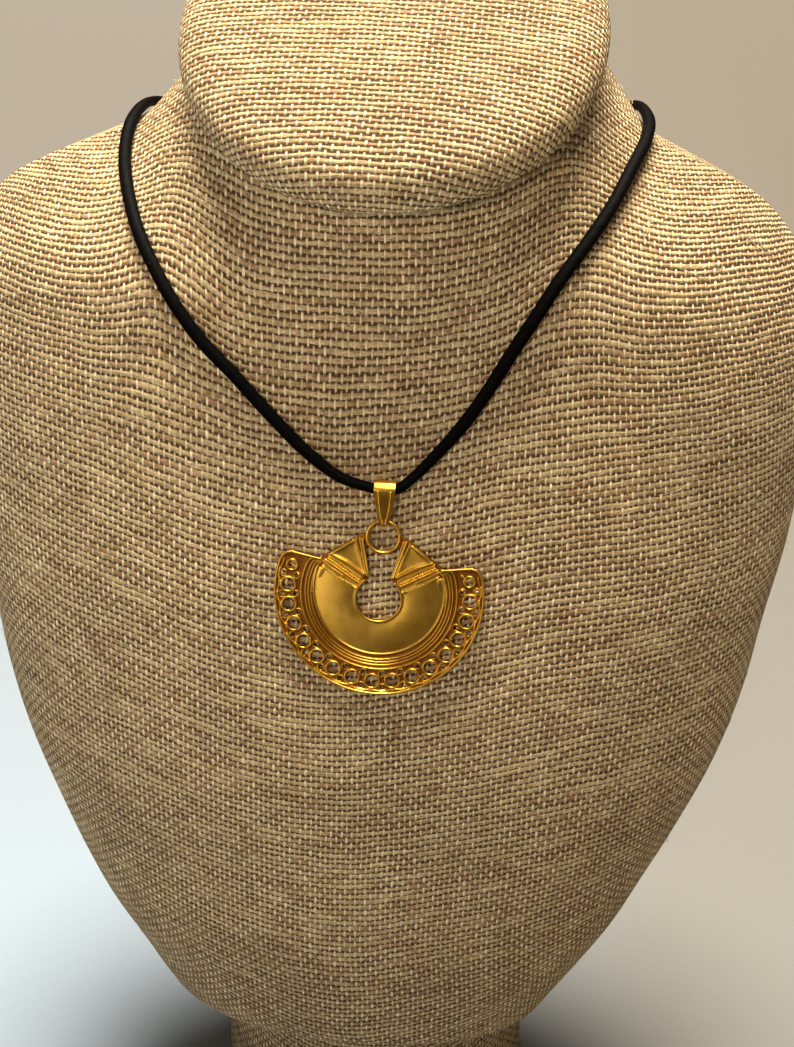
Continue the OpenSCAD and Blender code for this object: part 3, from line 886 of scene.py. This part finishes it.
# the plate's outline over the right shoulder, and the rim over the right tip
SHOULDER_LINE = [(22.8, 7.8), (22.1, 8.3), (21.2, 8.55), (14.2, 7.5), (12.4, 9), (7.2, 12.7), (5.3, 13.9),
                 (4.3, 14.2), (2.76, 3.54)]
TIP_LINE = [(14, 7.25), (17.5, 7.8), (21, 8.4), (22.2, 8.1), (23, 7.4), (23.6, 6.3)]
TIP_THICK = [0.46, 0.5, 0.56, 0.58, 0.6, 0.62]
# the beads of the right cuff's rope ridge: count, first place, run, turn in degrees and size
ROPE_BEADS = 15
ROPE_FROM = (4.75, 2.98)
ROPE_RUN = (8.0, 4.77)
ROPE_TURN = 30.8
ROPE_SIZE = 0.64
# casting flaws beside the last open rings: x, y and size
FLAWS = ((18.9, 6.4, 0.8), (19.6, 5.9, 0.6), (22.7, 3.0, 0.6), (19.3, 2.9, 0.5), (-19.2, 2.9, 0.5))


def polar(r, degrees, y=0.0):
    a = radians(degrees)
    return (r * cos(a), y + r * sin(a))


def arc(r, start, end, count, y=0.0):
    return [polar(r, start + (end - start) * i / (count - 1), y) for i in range(count)]


def circle(r, at, count):
    return [(at[0] + r * cos(a), at[1] + r * sin(a)) for a in np.arange(count) * 2 * pi / count]


def mirrored(points, side=-1):
    """The points on the other side of the middle, or as they are for side 1."""
    return [(side * p[0],) + tuple(p[1:]) for p in points]


def as_mesh(name, shape):
    piece = bpy.data.objects.new(name, shape)
    scene.collection.objects.link(piece)
    only(piece)
    bpy.ops.object.convert(target="MESH")
    return made(name)


def wire(points, thick, z):
    """A soldered wire through the points, its thickness one number or one at each point."""
    shape = bpy.data.curves.new("wire", "CURVE")
    shape.dimensions = "3D"
    shape.bevel_depth = 1.0
    shape.bevel_resolution = 3
    shape.use_fill_caps = True
    line = shape.splines.new("POLY")
    line.points.add(len(points) - 1)
    for i, point in enumerate(points):
        line.points[i].co = (point[0], point[1], z, 1)
        line.points[i].radius = (thick[i] if isinstance(thick, list) else thick) / 2
    return as_mesh("wire", shape)


def ring_wire(r, thick, at, z, sides):
    bpy.ops.mesh.primitive_torus_add(major_radius=r, minor_radius=thick / 2, major_segments=sides,
                                     minor_segments=12, location=(at[0], at[1], z))
    return settle(made("ring_wire"))


def bead(at, z, size, stretch=(1, 1, 1), turn_by=0.0):
    bpy.ops.mesh.primitive_uv_sphere_add(segments=10, ring_count=6, radius=size / 2, scale=stretch,
                                         location=(at[0], at[1], z), rotation=(0, 0, turn_by))
    return settle(made("bead"))


def filled(outline, holes, low, high):
    """A flat sheet with this outline and these holes, between two heights."""
    shape = bpy.data.curves.new("sheet", "CURVE")
    shape.dimensions = "2D"
    shape.fill_mode = "BOTH"
    shape.extrude = (high - low) / 2
    for loop in [outline] + holes:
        line = shape.splines.new("POLY")
        line.points.add(len(loop) - 1)
        for i, p in enumerate(loop):
            line.points[i].co = (p[0], p[1], 0, 1)
        line.use_cyclic_u = True
    piece = as_mesh("sheet", shape)
    piece.location.z = (low + high) / 2
    return outward(settle(piece))


def relief(name, grid):
    """A closed block under a grid of points, down to the raised plates' underside."""
    rows, cols = grid.shape[:2]
    top = grid.reshape(-1, 3)
    low = top.copy()
    low[:, 2] = RAISED_FROM
    n = len(top)
    faces = []
    for i in range(rows - 1):
        for j in range(cols - 1):
            a, b, c, d = i * cols + j, i * cols + j + 1, (i + 1) * cols + j + 1, (i + 1) * cols + j
            faces.append((a, b, c, d))
            faces.append((d + n, c + n, b + n, a + n))
    edge = (list(range(cols)) + [i * cols + cols - 1 for i in range(1, rows)]
            + [(rows - 1) * cols + i for i in range(cols - 2, -1, -1)]
            + [i * cols for i in range(rows - 2, 0, -1)])
    for a, b in zip(edge, edge[1:] + edge[:1]):
        faces.append((b, a, a + n, b + n))
    return outward(skin(name, np.concatenate([top, low]), faces))


def block(name, side, corners, heights):
    """A four cornered piece of plate; the heights are at its corners and in its middle."""
    a, b, c, d = (np.array(p) for p in corners)
    grid = []
    for p in np.linspace(0, 1, GRID):
        line = []
        for q in np.linspace(0, 1, GRID):
            point = (a * (1 - q) + b * q) * (1 - p) + (d * (1 - q) + c * q) * p
            edge = ((heights[0] * (1 - q) + heights[1] * q) * (1 - p)
                    + (heights[3] * (1 - q) + heights[2] * q) * p)
            dish = 16 * p * (1 - p) * q * (1 - q)
            line.append((side * point[0], point[1], edge + (heights[4] - sum(heights[:4]) / 4) * dish))
        grid.append(line)
    return relief(name, np.array(grid))


def solder(name, pieces, grain, most):
    """Joins the pieces into one closed solid with soft solder fillets, of at most so many triangles."""
    piece = join(name, pieces)
    finish_with(piece, "REMESH", mode="VOXEL", voxel_size=grain, use_smooth_shade=True)
    finish_with(piece, "SMOOTH", factor=0.5, iterations=1)
    piece.data.calc_loop_triangles()
    count = len(piece.data.loop_triangles)
    if count > most:
        finish_with(piece, "DECIMATE", ratio=most / count)
    return smooth_all(piece)


def ring_at(i):
    """The direction of an open ring in degrees."""
    return -90 + (i - (RING_COUNT - 1) / 2) * RING_STEP


def hole_of(i):
    return END_HOLE if i in (0, RING_COUNT - 1) else RING_HOLE


def openwork():
    """The plate with its slot, eye and open rings, and the wires round the rings."""
    outer = arc(PLATE_R, -90, 15.7, 70) + SHOULDER_LINE + arc(EYE_R, 59, -90, 40, EYE_Y)[1:]
    outline = outer[:-1] + mirrored(reversed(outer[1:]))
    holes = [circle(hole_of(i) / 2, polar(RING_CIRCLE, ring_at(i)), 32) for i in range(RING_COUNT)]
    pieces = []
    for i in range(RING_COUNT - 1):
        for r in DOT_CIRCLES:
            middle = polar(r, ring_at(i) + RING_STEP / 2)
            holes.append(circle(DOT_HOLE / 2, middle, 16))
            pieces.append(ring_wire(DOT_HOLE / 2 + DOT_WIRE / 2, DOT_WIRE, middle, LOW_Z + 0.03, 20))
    pieces.append(filled(outline, holes, BACK_Z, LOW_Z))
    for i in range(RING_COUNT):
        pieces.append(ring_wire(hole_of(i) / 2 + RING_WIRE / 2, RING_WIRE, polar(RING_CIRCLE, ring_at(i)),
                                -0.52, 36))
    return pieces


def rims():
    """The outer rim, turned over the tips, and the scalloped ridge inside it."""
    count = 150
    rim = TIP_LINE + arc(RIM_R, 13.5, -193.5, count) + mirrored(reversed(TIP_LINE))
    scallop = [polar(SCALLOP_R - SCALLOP_DEEP * cos(radians((a + 90) * 360 / RING_STEP)), a)
               for a in np.linspace(16, -196, 400)]
    return [wire(rim, TIP_THICK + [RIM_THICK] * count + TIP_THICK[::-1], -0.36), wire(scallop, 0.4, -0.46)]


def stepped_band():
    """Ridges one inside the other, which turn in to the cuffs at their tops."""
    pieces = []
    for r, thick, z in [(x, 0.42, -0.56) for x in BAND_RIDGES] + [(BAND_R, 0.5, -0.42)]:
        x, y = polar(r, 21)
        corner = [(14.0, y + 0.75), (x - 0.9, y + 0.7), (x - 0.3, y + 0.35)]
        pieces.append(wire(corner + arc(r, 19, -199, 120) + mirrored(reversed(corner)), thick, z))
    return pieces


def smooth_plate():
    """The plate swells a little between the eye and the band; a thin wire edges it and another the eye."""
    grid, edge = [], []
    for phi in np.linspace(-204, 24, 140):
        dy = EYE_Y - FACE_Y
        b = dy * sin(radians(phi))
        reach = -b + sqrt(b * b - dy * dy + FACE_R ** 2)
        line = []
        for t in np.linspace(0, 1, GRID):
            r = EYE_R + EYE_GAP + (reach - EYE_R - EYE_GAP) * t
            if t < CREST:
                fall = CREST_TO_EYE * ((CREST - t) / CREST) ** 2
            else:
                fall = CREST_TO_EDGE * ((t - CREST) / (1 - CREST)) ** 2
            line.append(polar(r, phi, EYE_Y) + (CREST_Z - fall,))
        edge.append(polar(reach, phi, EYE_Y))
        grid.append(line)
    return [relief("smooth_plate", np.array(grid)), wire(edge, 0.34, -0.5),
            wire(arc(EYE_R + 0.12, 50, -230, 110, EYE_Y), 0.56, -0.3)]


def shoulder_and_cuff(side):
    """The panel and the cuff beside the slot, on the right for side 1 and on the left for -1."""
    pieces = []

    def ridge(thick, z, *line):
        pieces.append(wire(mirrored(line, side), thick, z))

    # shoulder: three cornered panel, hollow towards the slot and bright along its outer edge
    pieces.append(block("shoulder_panel", side, ((6.5, 12.6), (3.6, 4.5), (11.6, 8.5), (9.3, 10.9)),
                        (-0.42, -0.5, -0.36, -0.24, -0.42)))
    ridge([0.7, 0.9, 0.95, 0.8], -0.46, (6.8, 12.35), (8.1, 11.45), (9.5, 10.45), (11.5, 8.95))
    # broad ridge along the panel's foot
    ridge([0.9, 1.15, 0.95], -0.5, (3.7, 4.45), (8.0, 7.15), (12.0, 8.85))
    # band of three ridges beside the slot
    ridge(0.5, -0.44, (2.6, 4.0), (4.75, 13.1))
    ridge(0.56, -0.44, (3.05, 4.2), (5.5, 13.2))
    ridge(0.5, -0.44, (3.5, 4.5), (6.35, 12.9))
    # cuff: thin ridge, rope ridge, thin ridge, a faint one, and the fine line at the plate's edge
    pieces.append(block("cuff_plate", side, ((5.0, 0.9), (3.7, 4.2), (12.4, 8.6), (14.0, 5.4)),
                        (-0.52, -0.54, -0.54, -0.52, -0.54)))
    ridge(0.42, -0.42, (4.5, 3.45), (8.4, 5.8), (12.3, 8.1))
    for k in range(ROPE_BEADS):
        t = (k + 0.5) / ROPE_BEADS
        pieces.append(bead((side * (ROPE_FROM[0] + ROPE_RUN[0] * t), ROPE_FROM[1] + ROPE_RUN[1] * t), -0.36,
                           ROPE_SIZE, (0.76, 1.0, 1.0), side * radians(ROPE_TURN)))
    ridge(0.42, -0.42, (5.0, 2.45), (9.3, 4.95), (13.3, 7.3))
    ridge([0.2, 0.3, 0.3], -0.46, (8.6, 3.65), (11.5, 5.3), (14, 7))
    ridge(0.36, -0.44, (5.4, 1.0), (7.7, 1.95), (10.6, 3.6), (13.5, 5.4))
    # bright streak where the plate meets the cuff
    ridge([0.3, 0.6, 0.24], -0.46, (13.2, 5.2), (13.7, 4.2), (14.2, 2.9))
    return pieces


parts = openwork() + rims() + stepped_band() + smooth_plate() + shoulder_and_cuff(1) + shoulder_and_cuff(-1)
for x, y, size in FLAWS:
    parts.append(bead((x, y), -0.55, size))
# a bar across the last open ring on the left
parts.append(wire([(-21.6, 5.9), (-20.7, 5.2), (-19.9, 4.8)], 0.4, -0.6))
parts.append(ring_wire(TOP_RING_R, TOP_RING_WIRE, (0, TOP_RING_Y), PLATE_Z, 72))
pendant_piece = solder("crescent_pendant", parts, grain=0.1, most=190000)
pendant_z = points_of(pendant_piece)[:, 2]
# painted shade: the gold darkens in the recesses below the plate's level, but not on the back
mark_recess(pendant_piece, np.clip((PLATE_Z - pendant_z) / 0.2, 0, 1) * (pendant_z > BACK_Z + 0.1))
pendant_piece.data.transform(
    Matrix.Translation(Vector(PENDANT_AT) * MM)
    @ Matrix.Rotation(radians(90 - LEAN), 4, "X")
    @ Matrix.Rotation(radians(-ROLL), 4, "Z")
    @ Matrix.Scale(MM, 4))
paint(pendant_piece, gold)
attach(pendant_piece, "pendant")
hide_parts("pendant")

# bail

# outer radii of the strip's fold over the cord and of its loop round the pendant's ring
FOLD_R = 2.05
LOOP_R = 1.3
FOLD_POINTS = 28
LONGEST_STEP = 0.35
STRIP_THICK = 0.4
STRIP_BULGE = 0.1
STRIP_COLS = 13
BEADS = 15
BEAD_SIZE = 0.56
# heights from the cord's middle up and half widths: of the strip, to its beads, and of the field between
STRIP_SHAPE = ((-8.9, 0.85), (-8.2, 1.1), (-7.4, 1.3), (-6.1, 1.65), (-3.2, 2.15), (0.4, 2.5))
BEAD_SHAPE = ((-7.6, 0.35), (-6.1, 0.83), (-3.2, 1.22), (0, 1.45))
FIELD_SHAPE = ((-8.2, 0.3), (-6.1, 0.83), (-3.2, 1.22), (0, 1.45))

# the bail leans from the cord down to the top of the pendant's ring
rise = (TOP_RING_Y + TOP_RING_R) * cos(radians(ROLL))
lean_cos, lean_sin = cos(radians(LEAN)), sin(radians(LEAN))
hinge_y = PENDANT_AT[1] + rise * lean_sin - PLATE_Z * lean_cos
hinge_z = PENDANT_AT[2] + rise * lean_cos + PLATE_Z * lean_sin
bail_lean = atan2(CORD_AT[1] - hinge_y, CORD_AT[2] - hinge_z)
bail_l = hypot(CORD_AT[1] - hinge_y, CORD_AT[2] - hinge_z)
slope = asin((FOLD_R - LOOP_R) / bail_l)


def half_at(y, shape):
    return np.interp(y, [p[0] for p in shape], [p[1] for p in shape])


def front_z(y):
    return FOLD_R / cos(slope) + y * tan(slope)


def drop_line():
    """The folded strip's side view, as points (z, y) round the closed loop."""
    line = []
    for a in np.linspace(-slope, pi + slope, FOLD_POINTS):
        line.append((FOLD_R * cos(a), FOLD_R * sin(a)))
    for a in np.linspace(pi + slope, 2 * pi - slope, FOLD_POINTS // 2):
        line.append((LOOP_R * cos(a), -bail_l + LOOP_R * sin(a)))
    out = []
    for a, b in zip(line, line[1:] + line[:1]):
        cuts = max(1, int(dist(a, b) / LONGEST_STEP))
        for c in range(cuts):
            out.append((a[0] + (b[0] - a[0]) * c / cuts, a[1] + (b[1] - a[1]) * c / cuts))
    return np.array(out)


def folded_strip():
    """The strip's cross section bulges in the middle and is thin at its edges."""
    profile = drop_line()
    tangent = np.roll(profile, -1, axis=0) - np.roll(profile, 1, axis=0)
    tangent /= np.linalg.norm(tangent, axis=1)[:, None]
    normal = np.stack([tangent[:, 1], -tangent[:, 0]], 1)
    points, faces = [], []
    for (z, y), (nz, ny) in zip(profile, normal):
        for inner in (False, True):
            for t in np.linspace(-1, 1, STRIP_COLS):
                sink = STRIP_THICK if inner else STRIP_BULGE * abs(t) ** 2.2
                points.append((half_at(y, STRIP_SHAPE) * t, y - ny * sink, z - nz * sink))
    cols, wide = STRIP_COLS, 2 * STRIP_COLS
    for i in range(len(profile)):
        a, b = i * wide, (i + 1) % len(profile) * wide
        for c in range(cols - 1):
            faces.append((a + c, a + c + 1, b + c + 1, b + c))
            faces.append((b + cols + c, b + cols + c + 1, a + cols + c + 1, a + cols + c))
        faces.append((b, b + cols, a + cols, a))
        faces.append((a + cols - 1, a + wide - 1, b + wide - 1, b + cols - 1))
    return outward(skin("strip", points, faces))


bail_parts = [folded_strip()]
for i in range(BEADS):
    y = -0.3 - i * (bail_l - 0.1) / (BEADS - 1)
    for side in (1, -1):
        bail_parts.append(bead((side * half_at(y, BEAD_SHAPE), y), front_z(y) + 0.02, BEAD_SIZE))
bail_piece = solder("folded_bail", bail_parts, grain=0.06, most=90000)
# the field between the beads is darker, in front only
x, y, z = points_of(bail_piece).T
in_field = np.clip((half_at(y, FIELD_SHAPE) - np.abs(x)) / 0.3, 0, 0.7) * np.clip((-0.4 - y) / 0.8, 0, 1)
mark_recess(bail_piece, in_field * (z > 0) * (z < front_z(y) + 0.06))
bail_piece.data.transform(
    Matrix.Translation(Vector(CORD_AT) * MM)
    @ Matrix.Rotation(pi / 2 - bail_lean, 4, "X")
    @ Matrix.Scale(MM, 4))
paint(bail_piece, gold)
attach(bail_piece, "bail")
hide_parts("bail")

# floor and light

FLOOR_SIZE = 12
FLOOR_Z = -0.0002
BUST_MIDDLE = (0, 0, 0.2)

bpy.ops.mesh.primitive_plane_add(size=FLOOR_SIZE, location=(0, 0, FLOOR_Z))
floor = made("floor")
paint(floor, plain_paper("pale_floor"))
# the gold mirrors only the lamps and the room
floor.visible_glossy = False


def lamp_at(name, kind, at, aim, power, colour):
    lamp = bpy.data.lights.new(name, kind)
    lamp.energy = power
    lamp.color = colour
    piece = bpy.data.objects.new(name, lamp)
    scene.collection.objects.link(piece)
    piece.location = at
    piece.rotation_euler = (Vector(aim) - Vector(at)).to_track_quat("-Z", "Y").to_euler()
    return piece


def softbox(name, at, size, power, colour):
    piece = lamp_at(name, "AREA", at, BUST_MIDDLE, power, colour)
    piece.data.shape = "DISK"
    piece.data.size = size
    piece.visible_camera = False
    return piece


top = lamp_at("top_light", "SUN", (-0.03, 0.25, 1), (0, 0, 0), 9.5, (1.0, 0.93, 0.79))
top.data.angle = radians(32)
# a soft spot fills the neck and the upper chest
fill = lamp_at("neck_fill", "SPOT", (-0.2, -0.95, 0.72), (0, 0, 0.25), 16, (1.0, 0.88, 0.72))
fill.data.spot_size = radians(24)
fill.data.spot_blend = 1
fill.data.shadow_soft_size = 0.05
fill.visible_glossy = False
softbox("left_front", (-1.1, -1.2, 0.45), 0.9, 0.8, (1.0, 0.9, 0.76))
# what the gold mirrors
softbox("left_card", (-0.7, -1.5, 0.4), 0.9, 3.2, (1.0, 0.93, 0.95)).visible_diffuse = False
softbox("high_card", (0.1, -0.9, 1.4), 0.9, 12, (1.0, 0.93, 0.76)).visible_diffuse = False

world = bpy.data.worlds.new("studio")
scene.world = world
world.use_nodes = True
background = world.node_tree.nodes["Background"].inputs
background["Color"].default_value = (1.0, 0.8, 0.6, 1)
background["Strength"].default_value = 0.09
